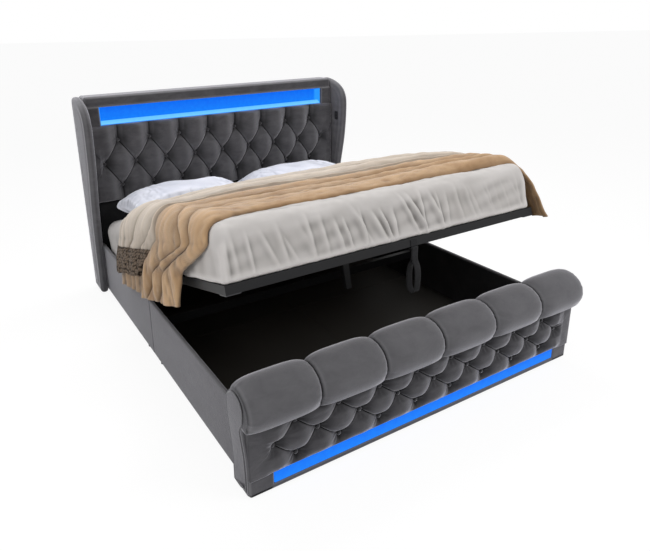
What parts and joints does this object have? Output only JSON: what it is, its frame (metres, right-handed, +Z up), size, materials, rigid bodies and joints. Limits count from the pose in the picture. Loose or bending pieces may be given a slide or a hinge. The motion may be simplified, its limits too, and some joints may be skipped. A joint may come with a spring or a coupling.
{
  "type": "upholstered storage bed",
  "caption": "Winged, deep-buttoned double bed with a scroll footboard, edge lights and a gas-strut platform that lifts over a storage bay.",
  "frame": {"origin": "on the floor, at the middle of the bed's outer box", "axes": "+X to the right seen from the foot, +Y from the footboard to the headboard, +Z up"},
  "size_m": [1.982, 2.44, 1.34],
  "materials": {
    "velvet": "short velvet pile, deep charcoal grey",
    "lining_cloth": "plain woven lining cloth",
    "core_board": "raw particle board",
    "light_lens": "lit diffuser, blue",
    "pale_light_lens": "lit diffuser, pale blue",
    "port_plastic": "smooth moulding",
    "driver_case": "satin",
    "bracket_steel": "zinc plated",
    "bay_board": "black laminate on board",
    "frame_paint": "black powder coat",
    "bumper_rubber": "matt",
    "foot_plastic": "matt moulding",
    "leg_plastic": "black powder coat",
    "strut_paint": "satin black",
    "strut_chrome": "polished",
    "slat_wood": "clear lacquered laminated beech",
    "webbing": "tight woven webbing",
    "bed_sheet": "smooth cotton",
    "pillow_cloth": "smooth cotton",
    "cream_cloth": "soft brushed cotton",
    "knit_cloth": "chunky knit",
    "tan_cloth": "soft woven wool"
  },
  "bodies": {
    "bed_base": {"headboard_core": "core_board", "headboard_top_border": "velvet", "headboard_tufted_pad": "velvet", "headboard_buttons": "velvet", "headboard_lower_panel": "lining_cloth", "headboard_back_cover": "lining_cloth", "headboard_recess_liner": "lining_cloth", "headboard_led_diffuser": "pale_light_lens", "wing_left": "velvet", "wing_right": "velvet", "usb_port_left": "port_plastic", "usb_port_right": "port_plastic", "led_driver": "driver_case", "footboard_core": "core_board", "footboard_roll": "velvet", "footboard_tufted_pad": "velvet", "footboard_buttons": "velvet", "footboard_front_border": "velvet", "footboard_led_strip": "light_lens", "footboard_inner_panel": "lining_cloth", "footboard_end_left": "velvet", "footboard_end_right": "velvet", "side_rail_left_foot": "velvet", "side_rail_left_head": "velvet", "side_rail_right_foot": "velvet", "side_rail_right_head": "velvet", "rail_brackets": "bracket_steel", "floor_ledges": "core_board", "storage_floor": "bay_board", "cross_beam": "frame_paint", "rest_bumpers": "bumper_rubber", "glide_feet": "foot_plastic", "lift_base_left": "frame_paint", "lift_base_right": "frame_paint", "pivot_pins": "bracket_steel"},
    "platform": {"platform_side_left": "frame_paint", "platform_side_right": "frame_paint", "platform_foot_tube": "frame_paint", "platform_head_tube": "frame_paint", "platform_spine": "frame_paint", "corner_brackets": "bracket_steel", "slats_left": "slat_wood", "slats_right": "slat_wood", "slat_holders": "foot_plastic", "centre_leg_front": "leg_plastic", "centre_leg_rear": "leg_plastic", "strap_anchor": "webbing", "strut_pins_upper": "bracket_steel", "mattress": "bed_sheet", "pillow_left": "pillow_cloth", "pillow_right": "pillow_cloth", "cream_throw": "cream_cloth", "throw_band": "knit_cloth", "tan_throw": "tan_cloth"},
    "strut_cylinder_left": {"strut_cylinder_left": "strut_paint"},
    "strut_cylinder_right": {"strut_cylinder_right": "strut_paint"},
    "strut_rod_left": {"strut_rod_left": "strut_chrome"},
    "strut_rod_right": {"strut_rod_right": "strut_chrome"},
    "lift_strap": {"lift_strap": "webbing"}
  },
  "joints": [
    {"name": "platform_lift", "type": "hinge", "parent": "bed_base", "child": "platform", "pos_m": [0, 0.81, 0.29], "axis": [-1, 0, 0], "range_deg": [-16, 12]},
    {"name": "cylinder_swing_left", "type": "hinge", "parent": "bed_base", "child": "strut_cylinder_left", "pos_m": [-0.838, 0.50652, 0.06131], "axis": [-1, 0, 0], "range_deg": [-8.05, 6.05]},
    {"name": "rod_swing_left", "type": "hinge", "parent": "platform", "child": "strut_rod_left", "pos_m": [-0.838, 0.44472, 0.39474], "axis": [-1, 0, 0], "range_deg": [-6.05, 8.05]},
    {"name": "cylinder_swing_right", "type": "hinge", "parent": "bed_base", "child": "strut_cylinder_right", "pos_m": [0.838, 0.50652, 0.06131], "axis": [-1, 0, 0], "range_deg": [-8.05, 6.05]},
    {"name": "rod_swing_right", "type": "hinge", "parent": "platform", "child": "strut_rod_right", "pos_m": [0.838, 0.44472, 0.39474], "axis": [-1, 0, 0], "range_deg": [-6.05, 8.05]},
    {"name": "strap_swing", "type": "hinge", "parent": "platform", "child": "lift_strap", "pos_m": [0.065, -0.92148, 0.76017], "axis": [-1, 0, 0], "range_deg": [-12, 16]}
  ],
  "couplings": [
    {"joint": "cylinder_swing_left", "follows": "platform_lift", "ratio": 0.5},
    {"joint": "rod_swing_left", "follows": "platform_lift", "ratio": -0.5},
    {"joint": "cylinder_swing_right", "follows": "platform_lift", "ratio": 0.5},
    {"joint": "rod_swing_right", "follows": "platform_lift", "ratio": -0.5}
  ]
}
